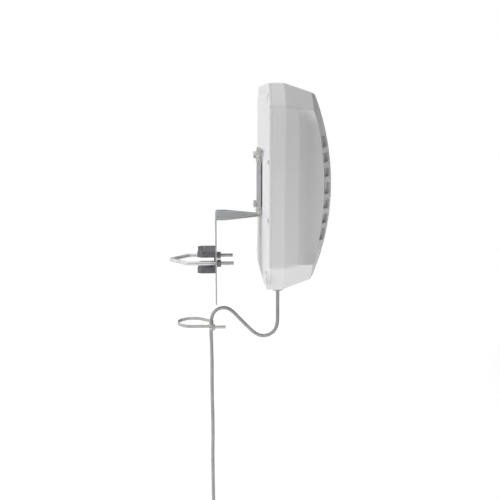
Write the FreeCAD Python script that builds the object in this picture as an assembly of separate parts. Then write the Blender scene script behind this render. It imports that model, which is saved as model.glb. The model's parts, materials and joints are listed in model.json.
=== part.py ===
"""Outdoor wireless bridge: a panel radio on a Z-bracket that clamps to a round mast.

Units are millimetres. The origin is on the mast's axis, level with the V-bolt.
X points from the mast to the panel's front, Y is across the panel, Z is up.
"""
import math
import os

import FreeCAD
import Part

V = FreeCAD.Vector
OUT = "parts"

# Mast that the clamps fit
MAST_R = 22.225
JAW_R = 22.3

# Panel outline, seen from the front: a square with cut corners
PANEL_Z = 116.5
HALF = 141.0
CORNER_CUT = 29.5
LOWER_CUT = 38.0
CORNER_ROUND = 9.0

# Panel depths along X
COVER_X0 = 105.0
COVER_X1 = 109.5
GASKET_T = 1.0
LIP_T = 1.2
LIP_GAP = 0.1
WALL_X = 127.3
TIP_X = 207.0
BEVEL = 0.3216
WALL_T = 3.0

# Front face: upright arcs across the panel, each given by its foremost X and its radius
ARCH_R = 345.0
FRONT_X = 201.8
SHOULDER_Y = 75.0
SHOULDER_X = 197.1
EDGE_Y = 104.0
EDGE_X = 183.5
EDGE_R = 452.0
SHOULDER_SLOPE = (SHOULDER_X - EDGE_X) / (EDGE_Y - SHOULDER_Y)
OUTER_SLOPE = 0.246
SHOULDER_T = 8.0

# Hollow in each side: depth line seen from above, and the heights where its end ramps start and finish
HOLLOW = [
    (138.0, -137.9),
    (142.5, -136.4),
    (146.0, -134.9),
    (149.5, -132.4),
    (153.0, -129.5),
    (156.0, -126.8),
    (160.0, -122.4),
    (166.0, -116.3),
    (173.0, -110.4),
    (183.5, -104.0),
    (200.0, -95.5),
    (216.0, -88.0),
]
HOLLOW_END = 109.0
HOLLOW_FULL = 80.0
HOLLOW_BOW = 7.0

# Pockets down each shoulder: height above the middle, and length
POCKETS = [(0.0, 16.2), (21.7, 12.5), (42.1, 13.5), (64.0, 17.3)]
POCKET_DEPTH = 3.8
POCKET_WIDTH = 24.0

# Rear cover screws
SCREW_PITCH = 77.0
SCREW_INSET = 10.0

# Bracket
STEEL_T = 2.0
LEG_X0 = 99.1
LEG_X1 = LEG_X0 + STEEL_T
LEG_HALF = 47.5
LEG_TOP = 165.5
SHELF_Z1 = 68.5
SHELF_Z0 = SHELF_Z1 - STEEL_T
SHELF_HALF = 52.0
SHELF_END_HALF = 17.0
SHELF_STRAIGHT_X = 50.0
PLATE_X0 = 35.0
PLATE_X1 = PLATE_X0 + STEEL_T
PLATE_BOTTOM = -59.5
BOLT_PITCH = 75.0
BEND_R = 2.5
WALL_HOLE_R = 4.25
WALL_HOLE_Y = 40.0
WALL_HOLE_TOP = 45.0
WALL_HOLE_BOTTOM = -45.0

# V-bolt
ROD_R = 2.95
LEG_Y = 32.0
LEG_END_X = 62.0
V_ANGLE = math.radians(50.0)
V_CLEAR = 0.25
V_BEND_R = 8.0
TIP_BEND_R = 6.0
NUT_BORE_R = 3.0
NUT_T = 6.0
NUT_GAP = 0.3

# Saddle
SADDLE_HALF = 25.0
SADDLE_TOP = 16.5
SADDLE_SLOT = 7.2
SADDLE_WEB = 2.0
SADDLE_TIP_X = 10.0

# Cable, gland and band clamp
CABLE_R = 2.7
GLAND_X = 129.2
GLAND_SEAT_Z = -26.5
GLAND_END_Z = -48.0
CLIP_Z = -98.0
CLIP_HALF = 2.25
CLIP_T = 1.0
RUN_X = 27.4


# ---------------------------------------------------------------- helpers
def box(x0, x1, y0, y1, z0, z1):
    """A block between two corners."""
    return Part.makeBox(x1 - x0, y1 - y0, z1 - z0, V(x0, y0, z0))


def rod_x(x0, x1, y, z, r):
    """A round bar along X."""
    return Part.makeCylinder(r, x1 - x0, V(x0, y, z), V(1, 0, 0))


def rod_z(z0, z1, x, y, r):
    """A round bar along Z."""
    return Part.makeCylinder(r, z1 - z0, V(x, y, z0), V(0, 0, 1))


def hexagon(across_flats, start, axis, length):
    """A hexagonal bar from a start point along an axis."""
    radius = across_flats / math.sqrt(3.0)
    points = []
    for i in range(7):
        angle = math.radians(60.0 * i + 30.0)
        points.append(V(radius * math.cos(angle), radius * math.sin(angle), 0))
    bar = Part.Face(Part.makePolygon(points)).extrude(V(0, 0, length))
    bar.Placement = FreeCAD.Placement(start, FreeCAD.Rotation(V(0, 0, 1), axis))
    return bar


def polygon(points):
    """A closed flat face through the points."""
    return Part.Face(Part.makePolygon(points + points[:1]))


def fuse(shapes):
    """All the shapes as one solid."""
    whole = shapes[0].fuse(shapes[1:])
    return whole.removeSplitter()


def group(shapes):
    """Separate solids kept together in one node."""
    return Part.makeCompound(shapes)


def mirror_y(shape):
    """The same shape on the other side of the middle plane."""
    return shape.mirror(V(0, 0, 0), V(0, 1, 0))


def save(name, shape):
    """Write one node and print what it holds."""
    solids = shape.Solids
    valid = all(s.isValid() for s in solids)
    shape.exportStep(OUT + "/" + name + ".step")
    print(name, len(solids), "solids", round(shape.Volume), "mm3", "valid" if valid else "NOT VALID")


# ---------------------------------------------------------------- panel shell
def outline(x, half, cut, lower_cut, rounding):
    """The panel's outline at one depth: a square with cut corners, each corner of that rounded."""
    inner = half - cut
    lower = half - lower_cut
    corners = [
        (inner, half),
        (half, inner),
        (half, -lower),
        (lower, -half),
        (-lower, -half),
        (-half, -lower),
        (-half, inner),
        (-inner, half),
    ]
    back = rounding * math.tan(math.radians(22.5))
    edges = []
    previous_end = None
    first_start = None
    for i in range(8):
        before = V(x, *corners[i - 1])
        here = V(x, *corners[i])
        after = V(x, *corners[(i + 1) % 8])
        to_before = (before - here).normalize()
        to_after = (after - here).normalize()
        start = here + to_before * back
        end = here + to_after * back
        sagitta = rounding / math.cos(math.radians(22.5)) - rounding
        middle = here + (to_before + to_after).normalize() * sagitta
        if previous_end is not None:
            edges.append(Part.LineSegment(previous_end, start).toShape())
        else:
            first_start = start
        edges.append(Part.Arc(start, middle, end).toShape())
        previous_end = end
    edges.append(Part.LineSegment(previous_end, first_start).toShape())
    wire = Part.Wire(edges)
    wire.translate(V(0, 0, PANEL_Z))
    return wire


def outline_at(x, inset):
    """The shell's outline at a depth, drawn in by the bevel and by an inset."""
    lean = BEVEL * max(0.0, x - WALL_X)
    shrink = 0.37 * lean + inset * (2.0 - math.sqrt(2.0))
    rounding = max(2.0, CORNER_ROUND - inset)
    return outline(x, HALF - lean - inset, CORNER_CUT - shrink, LOWER_CUT - shrink, rounding)


def prism(x0, x1, inset):
    """A straight piece of the panel between two depths."""
    return Part.Face(outline_at(x0, inset)).extrude(V(x1 - x0, 0, 0))


def bevelled_block(x0, inset):
    """The straight side wall and the bevel in front of it, before the front face is cut."""
    wall = Part.Face(outline_at(x0, inset)).extrude(V(WALL_X - x0, 0, 0))
    bevel = Part.makeLoft([outline_at(WALL_X, inset), outline_at(TIP_X, inset)], True, True)
    return wall.fuse(bevel).removeSplitter()


def upright_section(y, front, radius):
    """A closed outline in the plane of one y, with an arc of that radius for its front."""
    centre = front - radius
    half = 160.0
    side = centre + math.sqrt(radius ** 2 - half ** 2)
    low = V(side, y, PANEL_Z - half)
    high = V(side, y, PANEL_Z + half)
    back_low = V(40, y, PANEL_Z - half)
    back_high = V(40, y, PANEL_Z + half)
    arc = Part.Arc(low, V(front, y, PANEL_Z), high)
    return Part.Wire([
        Part.LineSegment(back_low, low).toShape(),
        arc.toShape(),
        Part.LineSegment(high, back_high).toShape(),
        Part.LineSegment(back_high, back_low).toShape(),
    ])


def arched_front(inset, shoulder_inset):
    """Everything behind the front face, which arches from top to bottom and falls away at its sides."""
    middle = []
    for i in range(7):
        y = SHOULDER_Y * (i - 3) / 3
        drop = (FRONT_X - SHOULDER_X) * (y / SHOULDER_Y) ** 2
        depth = inset + (shoulder_inset - inset) * (y / SHOULDER_Y) ** 2
        front = FRONT_X - drop - depth
        middle.append(upright_section(y, front, ARCH_R - drop - depth))
    shape = Part.makeLoft(middle, True, False)
    fall = SHOULDER_X - shoulder_inset
    edge = EDGE_X - shoulder_inset
    for side in (-1, 1):
        wires = [upright_section(side * SHOULDER_Y, fall, ARCH_R - FRONT_X + fall)]
        for y in (EDGE_Y, 150.0):
            front = edge - OUTER_SLOPE * (y - EDGE_Y)
            wires.append(upright_section(side * y, front, EDGE_R - shoulder_inset))
        shape = shape.fuse(Part.makeLoft(wires, True, True))
    return shape.removeSplitter()


def hollow_section(height, grow):
    """The hollow's outline at one height above the panel's middle, flush with the bevel at its ends."""
    share = (HOLLOW_END + grow - abs(height)) / (HOLLOW_END - HOLLOW_FULL)
    share = 1.0 - (1.0 - min(1.0, max(0.0, share))) ** 2
    first_x = HOLLOW[0][0]
    last_x = HOLLOW[-1][0]
    points = []
    for x, y in HOLLOW:
        bowed_x = x - HOLLOW_BOW * (1.0 - share) * (last_x - x) / (last_x - first_x)
        flush = -HALF + BEVEL * (bowed_x - WALL_X) - 0.4
        full = y + BEVEL * (bowed_x - x)
        points.append(V(bowed_x, flush + (full - flush) * share + grow, PANEL_Z + height))
    curve = Part.BSplineCurve()
    curve.interpolate(points)
    first, last = points[0], points[-1]
    out_first = V(first.x, -170, first.z)
    out_last = V(last.x, -170, last.z)
    return Part.Wire([
        curve.toShape(),
        Part.LineSegment(last, out_last).toShape(),
        Part.LineSegment(out_last, out_first).toShape(),
        Part.LineSegment(out_first, first).toShape(),
    ])


def hollow(grow):
    """The long hollow in one side of the panel, grown by a margin."""
    step = (HOLLOW_END - HOLLOW_FULL) / 6
    ramp = []
    for i in range(7):
        ramp.append(HOLLOW_FULL + i * step + grow)
    heights = [-z for z in reversed(ramp)] + [-30.0, 30.0] + ramp
    wires = [hollow_section(z, grow) for z in heights]
    return Part.makeLoft(wires, True, False)


def pocket(offset, length, side):
    """One rounded pocket in a shoulder, at a height above the middle."""
    slope = math.degrees(math.atan(SHOULDER_SLOPE))
    tool = box(-POCKET_DEPTH, 12, 0, POCKET_WIDTH, -length / 2, length / 2)
    edges = []
    for edge in tool.Edges:
        if edge.BoundBox.XLength > 10:
            edges.append(edge)
    tool = tool.makeFillet(3.0, edges)
    tool.rotate(V(0, 0, 0), V(0, 0, 1), -slope)
    start = SHOULDER_Y + 28.0
    tool.translate(V(SHOULDER_X - SHOULDER_SLOPE * (start - SHOULDER_Y), -start, PANEL_Z))
    centre = V(FRONT_X - ARCH_R, 0, PANEL_Z)
    reach = SHOULDER_X - 6.0 - centre.x
    tool.rotate(centre, V(0, 1, 0), -math.degrees(math.asin(offset / reach)))
    if side > 0:
        tool = mirror_y(tool)
    return tool


def screw_places():
    """(y, z) of the rear cover screws: one pitch apart along each edge and at each corner."""
    near = SCREW_PITCH / 2
    edge = HALF - SCREW_INSET
    inward = SCREW_INSET / math.sqrt(2.0)
    places = []
    for s in (-1, 1):
        for t, cut in ((-1, LOWER_CUT), (1, CORNER_CUT)):
            corner = HALF - cut / 2 - inward
            places.append((s * edge, t * near))
            places.append((s * near, t * edge))
            places.append((s * corner, t * corner))
    return [(y, PANEL_Z + z) for y, z in places]


def front_radome():
    """The white shell in front."""
    outer = bevelled_block(COVER_X1 + LIP_GAP, 0.0).common(arched_front(0.0, 0.0))
    dent = hollow(0.0)
    outer = outer.cut(dent).cut(mirror_y(dent))
    cavity = bevelled_block(COVER_X1, WALL_T).common(arched_front(WALL_T, SHOULDER_T))
    room = hollow(WALL_T)
    cavity = cavity.cut(room).cut(mirror_y(room))
    gasket_groove = prism(COVER_X1, COVER_X1 + GASKET_T, LIP_T)
    shell = outer.cut(cavity).cut(gasket_groove)
    bosses = []
    for y, z in screw_places():
        bosses.append(rod_x(COVER_X1, WALL_X - 1.0, y, z, 7.4))
    bosses.append(rod_z(GLAND_SEAT_Z, PANEL_Z - HALF + 9.0, GLAND_X, 0, 15.0))
    inside = prism(COVER_X1, WALL_X, 1.0).fuse(rod_z(GLAND_SEAT_Z, 20.0, GLAND_X, 0, 15.0))
    solid_bosses = Part.makeCompound(bosses).common(inside)
    shell = shell.fuse(solid_bosses.Solids)
    for y, z in screw_places():
        shell = shell.cut(rod_x(COVER_X1 - 1, COVER_X1 + 11.0, y, z, 1.6))
    shell = shell.cut(rod_z(GLAND_SEAT_Z - 1, 20.0, GLAND_X, 0, 8.0))
    shell = shell.cut(rod_z(GLAND_SEAT_Z + 5.0, 20.0, GLAND_X, 0, 12.5))
    for offset, length in POCKETS:
        for side in (-1, 1):
            shell = shell.cut(pocket(offset, length, side))
            if offset:
                shell = shell.cut(pocket(-offset, length, side))
    return shell.removeSplitter()


def cover_gasket():
    """A flat sealing ring squeezed between the radome's wall and the rear cover, inside the lip."""
    ring = prism(COVER_X1, COVER_X1 + GASKET_T, LIP_T + 0.1)
    ring = ring.cut(prism(COVER_X1 - 1, COVER_X1 + 3, WALL_T - 0.2))
    for y, z in screw_places():
        ring = ring.cut(rod_x(COVER_X1 - 1, COVER_X1 + 3, y, z, 7.6))
    return ring


def shield(x, spread):
    """The rear block's outline at one depth: narrow at the top and flared to the bottom corners."""
    half = [(20, 51), (48, 33), (54, -46), (76, -89), (112, -119), (100, -134)]
    points = []
    for y, z in half:
        points.append(V(x, y + spread, PANEL_Z + z + (0.15 * spread if z > 0 else 0.0)))
    for y, z in reversed(half):
        points.append(V(x, -y - spread, PANEL_Z + z + (0.15 * spread if z > 0 else 0.0)))
    return Part.makePolygon(points + points[:1])


def rear_cover():
    """The white back plate with its raised block, bosses for the bracket and screw pockets."""
    plate = prism(COVER_X0, COVER_X1, 0.0)
    rim = []
    for edge in plate.Edges:
        if abs(edge.BoundBox.XMin - COVER_X0) < 0.01 and edge.BoundBox.XLength < 0.01:
            rim.append(edge)
    plate = plate.makeFillet(2.0, rim)
    block = Part.makeLoft([shield(COVER_X0 + 0.5, 22.0), shield(102.6, 0.0)], True, True)
    parts = [plate, block]
    for y, z in bolt_places():
        parts.append(rod_x(LEG_X1, COVER_X1 + 5, y, z, 8.0))
    cover = fuse(parts)
    for y, z in bolt_places():
        cover = cover.cut(rod_x(LEG_X1 - 1, COVER_X1 + 3.5, y, z, 4.0))
    for y, z in screw_places():
        cover = cover.cut(rod_x(COVER_X0 - 1, COVER_X1 + 1, y, z, 2.2))
        cover = cover.cut(rod_x(COVER_X0 - 1, COVER_X0 + 2.4, y, z, 4.4))
        cover = cover.cut(screw_slot(y, z))
    return cover


def screw_slot(y, z):
    """The slot that opens a screw's pocket to the nearest edge of the cover."""
    out = z - PANEL_Z
    slot = box(COVER_X0 - 1, COVER_X0 + 1.0, 0, 16, -3, 3)
    if abs(y) > HALF - 15:
        angle = 0.0 if y > 0 else 180.0
    elif abs(out) > HALF - 15:
        angle = 90.0 if out > 0 else -90.0
    else:
        angle = math.degrees(math.atan2(out, y))
    slot.rotate(V(0, 0, 0), V(1, 0, 0), angle)
    slot.translate(V(0, y, z))
    return slot


def cover_screws():
    """Twelve pan-head screws in the pockets."""
    screws = []
    for y, z in screw_places():
        head = rod_x(COVER_X0 + 0.2, COVER_X0 + 2.4, y, z, 3.8)
        shank = rod_x(COVER_X0 + 2.4, COVER_X1 + 10.0, y, z, 1.6)
        screw = head.fuse(shank)
        screw = screw.cut(box(COVER_X0, COVER_X0 + 1.4, y - 2.0, y + 2.0, z - 0.4, z + 0.4))
        screw = screw.cut(box(COVER_X0, COVER_X0 + 1.4, y - 0.4, y + 0.4, z - 2.0, z + 2.0))
        screws.append(screw)
    return group(screws)


# ---------------------------------------------------------------- bracket
def bolt_places():
    """(y, z) of the four bracket bolts."""
    places = []
    for y in (-BOLT_PITCH / 2, BOLT_PITCH / 2):
        for z in (-BOLT_PITCH / 2, BOLT_PITCH / 2):
            places.append((y, PANEL_Z + z))
    return places


def bracket_inserts():
    """Threaded inserts pressed into the rear cover."""
    inserts = []
    for y, z in bolt_places():
        insert = rod_x(LEG_X1, COVER_X1 + 3.5, y, z, 4.0)
        inserts.append(insert.cut(rod_x(LEG_X1 - 1, COVER_X1 + 2.5, y, z, 2.95)))
    return group(inserts)


def bracket_bolts():
    """Hex bolts through the panel leg."""
    bolts = []
    for y, z in bolt_places():
        head = hexagon(10.0, V(LEG_X0 - 5.2, y, z), V(1, 0, 0), 4.0)
        shank = rod_x(LEG_X0 - 1.2, COVER_X1 + 2.0, y, z, 2.95)
        bolts.append(head.fuse(shank))
    return group(bolts)


def bracket_washers():
    """Flat washers under the bolt heads."""
    washers = []
    for y, z in bolt_places():
        washer = rod_x(LEG_X0 - 1.2, LEG_X0, y, z, 6.0)
        washers.append(washer.cut(rod_x(LEG_X0 - 2, LEG_X0 + 1, y, z, 3.2)))
    return group(washers)


def bracket_side_profile(half):
    """The Z-shaped strip, seen from the side, with rounded bends, drawn across a half width."""
    mid = STEEL_T / 2
    plate_x = PLATE_X0 + mid
    leg_x = LEG_X0 + mid
    shelf_z = SHELF_Z0 + mid
    r = BEND_R
    k = r * (1.0 - math.sqrt(0.5))
    line = [
        Part.LineSegment(V(plate_x, -half, PLATE_BOTTOM), V(plate_x, -half, shelf_z - r)),
        Part.Arc(
            V(plate_x, -half, shelf_z - r),
            V(plate_x + k, -half, shelf_z - k),
            V(plate_x + r, -half, shelf_z),
        ),
        Part.LineSegment(V(plate_x + r, -half, shelf_z), V(leg_x - r, -half, shelf_z)),
        Part.Arc(
            V(leg_x - r, -half, shelf_z),
            V(leg_x - k, -half, shelf_z + k),
            V(leg_x, -half, shelf_z + r),
        ),
        Part.LineSegment(V(leg_x, -half, shelf_z + r), V(leg_x, -half, LEG_TOP)),
    ]
    spine = Part.Wire([piece.toShape() for piece in line])
    start = V(plate_x, -half, PLATE_BOTTOM)
    section = Part.makePolygon([
        start + V(-mid, 0, 0),
        start + V(mid, 0, 0),
        start + V(mid, 2 * half, 0),
        start + V(-mid, 2 * half, 0),
        start + V(-mid, 0, 0),
    ])
    return spine.makePipeShell([section], True, False)


def z_bracket():
    """The zinc-coated steel bracket: mast plate down, tapered shelf out, panel leg up."""
    strip = bracket_side_profile(SHELF_HALF)
    side_cut = polygon([
        V(SHELF_STRAIGHT_X, SHELF_HALF, 0),
        V(LEG_X0 - 4.0, SHELF_END_HALF, 0),
        V(LEG_X1 + 2, SHELF_END_HALF, 0),
        V(LEG_X1 + 2, SHELF_HALF + 5, 0),
        V(SHELF_STRAIGHT_X, SHELF_HALF + 5, 0),
    ])
    side_cut = side_cut.extrude(V(0, 0, SHELF_Z1 + 6 - 50))
    side_cut.translate(V(0, 0, 50))
    strip = strip.cut(side_cut).cut(mirror_y(side_cut))
    leg_trim = box(LEG_X0 - 8, LEG_X1 + 2, LEG_HALF, SHELF_HALF + 1, SHELF_Z1, LEG_TOP + 1)
    strip = strip.cut(leg_trim).cut(mirror_y(leg_trim))
    lower = box(LEG_X0, LEG_X1, -LEG_HALF, LEG_HALF, SHELF_Z1 + 2, SHELF_Z1 + 12)
    strip = fuse([strip, lower])
    strip = round_plate_corners(strip)
    for y, z in bolt_places():
        strip = strip.cut(rod_x(LEG_X0 - 1, LEG_X1 + 1, y, z, 3.3))
    for y in (-LEG_Y, LEG_Y):
        strip = strip.cut(rod_x(PLATE_X0 - 1, PLATE_X1 + 1, y, 0, 3.3))
    for y in (-WALL_HOLE_Y, WALL_HOLE_Y):
        for z in (WALL_HOLE_BOTTOM, WALL_HOLE_TOP):
            strip = strip.cut(rod_x(PLATE_X0 - 1, PLATE_X1 + 1, y, z, WALL_HOLE_R))
    for z in (-11.0, 11.0):
        strip = strip.cut(rod_x(PLATE_X0 - 1, PLATE_X1 + 1, 0, z, 2.05))
    return strip.removeSplitter()


def round_plate_corners(strip):
    """Round the free corners of the mast plate and the panel leg."""
    edges = []
    for edge in strip.Edges:
        b = edge.BoundBox
        along_x = b.XLength > STEEL_T - 0.1 and b.YLength < 0.01 and b.ZLength < 0.01
        at_bottom = abs(b.ZMin - PLATE_BOTTOM) < 0.01
        at_top = abs(b.ZMin - LEG_TOP) < 0.01
        if along_x and (at_bottom or at_top):
            edges.append(edge)
    return strip.makeFillet(6.0, edges)


# ---------------------------------------------------------------- mast clamp
def mast_saddle():
    """The dark saddle: two jaws joined by a thin web against the mast plate."""
    plan = polygon([
        V(PLATE_X0, -SADDLE_HALF, 0),
        V(PLATE_X0, SADDLE_HALF, 0),
        V(SADDLE_TIP_X + 4.5, SADDLE_HALF, 0),
        V(SADDLE_TIP_X - 0.5, SADDLE_HALF - 3.5, 0),
        V(0, 15, 0),
        V(0, -15, 0),
        V(SADDLE_TIP_X - 0.5, -SADDLE_HALF + 3.5, 0),
        V(SADDLE_TIP_X + 4.5, -SADDLE_HALF, 0),
    ])
    plan.translate(V(0, 0, -SADDLE_TOP))
    body = plan.extrude(V(0, 0, 2 * SADDLE_TOP))
    body = body.cut(rod_z(-SADDLE_TOP - 1, SADDLE_TOP + 1, 0, 0, JAW_R))
    body = body.cut(box(-1, PLATE_X0 - SADDLE_WEB, -40, 40, -SADDLE_SLOT, SADDLE_SLOT))
    for angle in (-48, -32, -16, 0, 16, 32, 48):
        groove = rod_z(-SADDLE_TOP - 1, SADDLE_TOP + 1, JAW_R + 0.25, 0, 0.7)
        groove.rotate(V(0, 0, 0), V(0, 0, 1), angle)
        body = body.cut(groove)
    for z in (-11.0, 11.0):
        body = body.fuse(rod_x(PLATE_X0 - 1, PLATE_X1 - 0.5, 0, z, 2.0))
    return body.removeSplitter()


def v_bolt():
    """A round bar bent to a V behind the mast, with a threaded leg on each side."""
    reach = (MAST_R + V_CLEAR + ROD_R) / math.sin(V_ANGLE)
    corner_x = LEG_Y / math.tan(V_ANGLE) - reach
    corners = [
        V(LEG_END_X, -LEG_Y, 0),
        V(corner_x, -LEG_Y, 0),
        V(-reach, 0, 0),
        V(corner_x, LEG_Y, 0),
        V(LEG_END_X, LEG_Y, 0),
    ]
    spine = rounded_route(corners, [V_BEND_R, TIP_BEND_R, V_BEND_R])
    section = Part.Wire(Part.makeCircle(ROD_R, corners[0], V(1, 0, 0)))
    rod = spine.makePipeShell([section], True, False)
    ends = []
    for edge in rod.Edges:
        if abs(edge.BoundBox.XMin - LEG_END_X) < 0.01:
            ends.append(edge)
    return rod.makeChamfer(0.8, ends)


def rounded_route(corners, radii):
    """Straight lines through the corners with a tangent arc of a given radius at each bend."""
    pieces = []
    here = corners[0]
    for i, radius in enumerate(radii):
        before, at, after = corners[i], corners[i + 1], corners[i + 2]
        to_before = (before - at).normalize()
        to_after = (after - at).normalize()
        half_turn = (math.pi - to_before.getAngle(to_after)) / 2
        back = radius * math.tan(half_turn)
        start = at + to_before * back
        end = at + to_after * back
        sagitta = radius / math.cos(half_turn) - radius
        middle = at + (to_before + to_after).normalize() * sagitta
        pieces.append(Part.LineSegment(here, start).toShape())
        pieces.append(Part.Arc(start, middle, end).toShape())
        here = end
    pieces.append(Part.LineSegment(here, corners[-1]).toShape())
    return Part.Wire(pieces)


def v_nut(y):
    """One hex nut on a V-bolt leg."""
    start = PLATE_X1 + NUT_GAP
    nut = hexagon(10.0, V(start, y, 0), V(1, 0, 0), NUT_T)
    nut.rotate(V(start, y, 0), V(1, 0, 0), 90)
    trim = rod_x(start, start + NUT_T, y, 0, 5.6)
    nut = nut.common(trim)
    return nut.cut(rod_x(start - 1, start + NUT_T + 1, y, 0, NUT_BORE_R))


# ---------------------------------------------------------------- cable band clamp
def clip_loop(grow):
    """The area inside the band: round the mast and out round the cable, grown by a margin."""
    mast = Part.Face(Part.Wire(Part.makeCircle(JAW_R + grow, V(0, 0, 0))))
    cable = Part.Face(Part.Wire(Part.makeCircle(CABLE_R + 0.05 + grow, V(RUN_X, 0, 0))))
    far_side = tangent_sheet(JAW_R + grow, CABLE_R + 0.05 + grow)
    corner_x = RUN_X + CABLE_R + 0.05 + grow
    near_side = polygon([
        V(0, 0, 0),
        V(0, -JAW_R - grow, 0),
        V(corner_x, -JAW_R - grow, 0),
        V(corner_x, 0, 0),
    ])
    return mast.fuse([cable, far_side, near_side]).removeSplitter()


def tangent_sheet(big, small):
    """The flat area between the mast circle and the cable circle on the far side."""
    lean = math.acos((big - small) / RUN_X)
    return polygon([
        V(0, 0, 0),
        V(big * math.cos(lean), big * math.sin(lean), 0),
        V(RUN_X + small * math.cos(lean), small * math.sin(lean), 0),
        V(RUN_X, 0, 0),
    ])


def cable_band():
    """A thin steel band round the mast and the cable, with two ears drawn together by a screw."""
    outer = clip_loop(CLIP_T).extrude(V(0, 0, 2 * CLIP_HALF))
    inner = clip_loop(0.0).extrude(V(0, 0, 2 * CLIP_HALF))
    band = outer.cut(inner)
    band.translate(V(0, 0, CLIP_Z - CLIP_HALF))
    ear_x = RUN_X + CABLE_R + 0.05 + CLIP_T
    tail = box(ear_x - 2 * CLIP_T - 0.8, ear_x, -33.0, -22.0, CLIP_Z - 5.0, CLIP_Z + 5.0)
    slit = box(ear_x - CLIP_T - 0.8, ear_x - CLIP_T, -34.0, -20.0, CLIP_Z - 6.0, CLIP_Z + 6.0)
    neck = box(ear_x - CLIP_T, ear_x, -26.0, -10.0, CLIP_Z - CLIP_HALF, CLIP_Z + CLIP_HALF)
    band = fuse([band, tail]).cut(slit).fuse(neck)
    band = band.cut(rod_x(ear_x - 5, ear_x + 3, -28.2, CLIP_Z, 2.6))
    return band.removeSplitter()


def clamp_screw():
    """The pan-head screw through the band's ears."""
    ear_x = RUN_X + CABLE_R + 0.05 + CLIP_T
    head_x = ear_x - 2 * CLIP_T - 0.8
    head = rod_x(head_x - 3.0, head_x, -28.2, CLIP_Z, 4.2)
    shank = rod_x(head_x, 49.5, -28.2, CLIP_Z, 2.4)
    screw = head.fuse(shank)
    return screw.cut(box(head_x - 3.5, head_x - 1.5, -32, -24, CLIP_Z - 0.5, CLIP_Z + 0.5))


def clamp_nut():
    """The nut on the band clamp's screw."""
    ear_x = RUN_X + CABLE_R + 0.05 + CLIP_T
    nut = hexagon(8.0, V(ear_x, -28.2, CLIP_Z), V(1, 0, 0), 2.7)
    return nut.cut(rod_x(ear_x - 1, ear_x + 4, -28.2, CLIP_Z, 2.4))


# ---------------------------------------------------------------- gland
def gland_body():
    """The threaded body of the cable gland, with its hexagon outside the panel."""
    body = hexagon(22.0, V(GLAND_X, 0, GLAND_SEAT_Z - 6.5), V(0, 0, 1), 5.0)
    body = body.fuse(rod_z(GLAND_SEAT_Z - 1.5, GLAND_SEAT_Z + 11.0, GLAND_X, 0, 7.8))
    body = body.fuse(rod_z(GLAND_SEAT_Z - 14.0, GLAND_SEAT_Z - 6.5, GLAND_X, 0, 7.8))
    body = body.cut(rod_z(GLAND_SEAT_Z - 15, GLAND_SEAT_Z + 12, GLAND_X, 0, 4.0))
    body = body.cut(rod_z(GLAND_SEAT_Z - 15, GLAND_SEAT_Z - 4.0, GLAND_X, 0, 6.0))
    return body.removeSplitter()


def gland_washer():
    """The flat seal between the gland and the panel."""
    ring = rod_z(GLAND_SEAT_Z - 1.5, GLAND_SEAT_Z, GLAND_X, 0, 11.0)
    return ring.cut(rod_z(GLAND_SEAT_Z - 2, GLAND_SEAT_Z + 1, GLAND_X, 0, 7.8))


def gland_locknut():
    """The nut that holds the gland from inside."""
    nut = hexagon(20.0, V(GLAND_X, 0, GLAND_SEAT_Z + 5.0), V(0, 0, 1), 4.0)
    return nut.cut(rod_z(GLAND_SEAT_Z + 4, GLAND_SEAT_Z + 10, GLAND_X, 0, 7.8))


def gland_bush():
    """The rubber bush that grips the cable."""
    bush = rod_z(GLAND_END_Z + 2.5, GLAND_SEAT_Z - 4.0, GLAND_X, 0, 5.9)
    return bush.cut(rod_z(GLAND_END_Z, GLAND_SEAT_Z, GLAND_X, 0, CABLE_R))


def gland_nut():
    """The domed compression nut that the cable leaves through."""
    top = GLAND_SEAT_Z - 6.8
    nut = hexagon(20.0, V(GLAND_X, 0, GLAND_END_Z + 4.5), V(0, 0, 1), top - GLAND_END_Z - 4.5)
    dome = Part.makeCone(8.2, 9.8, 4.5, V(GLAND_X, 0, GLAND_END_Z), V(0, 0, 1))
    nut = nut.fuse(dome)
    nut = nut.cut(rod_z(GLAND_END_Z + 2.5, top + 1, GLAND_X, 0, 7.85))
    nut = nut.cut(rod_z(GLAND_END_Z - 1, top, GLAND_X, 0, CABLE_R + 0.3))
    return nut.removeSplitter()


# ---------------------------------------------------------------- inside the panel
BOARD_X0 = 120.5
BOARD_X1 = BOARD_X0 + 1.6
BOARD_HALF = 80.0
BOARD_POST = 74.0
REFLECTOR_X0 = 139.0
REFLECTOR_X1 = 141.0
REFLECTOR_HALF = 104.0
REFLECTOR_POST = 96.0
ANTENNA_X0 = 149.0
ANTENNA_X1 = 150.6
ANTENNA_HALF = 98.0
ANTENNA_POST = 90.0
PATCH_PITCH = 46.0
PATCH_SIDE = 27.0
FEED_Z = 23.0
JACK_Z0 = 62.0
JACK_Z1 = 83.0


def four_corners(offset):
    """(y, z) of the four corners of a square about the panel's middle."""
    places = []
    for y in (-offset, offset):
        for z in (-offset, offset):
            places.append((y, PANEL_Z + z))
    return places


def board_with_holes(x0, x1, half, post, hole_r):
    """A square plate with a hole at each post."""
    board = box(x0, x1, -half, half, PANEL_Z - half, PANEL_Z + half)
    corners = []
    for edge in board.Edges:
        if edge.BoundBox.XLength > 0.5:
            corners.append(edge)
    board = board.makeFillet(4.0, corners)
    for y, z in four_corners(post):
        board = board.cut(rod_x(x0 - 1, x1 + 1, y, z, hole_r))
    return board


def posts(x0, x1, offset, across_flats, bore):
    """Hexagonal spacers, threaded at the front end."""
    made = []
    for y, z in four_corners(offset):
        post = hexagon(across_flats, V(x0, y, z), V(1, 0, 0), x1 - x0)
        made.append(post.cut(rod_x(x1 - 5.0, x1 + 1, y, z, bore)))
    return group(made)


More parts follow.
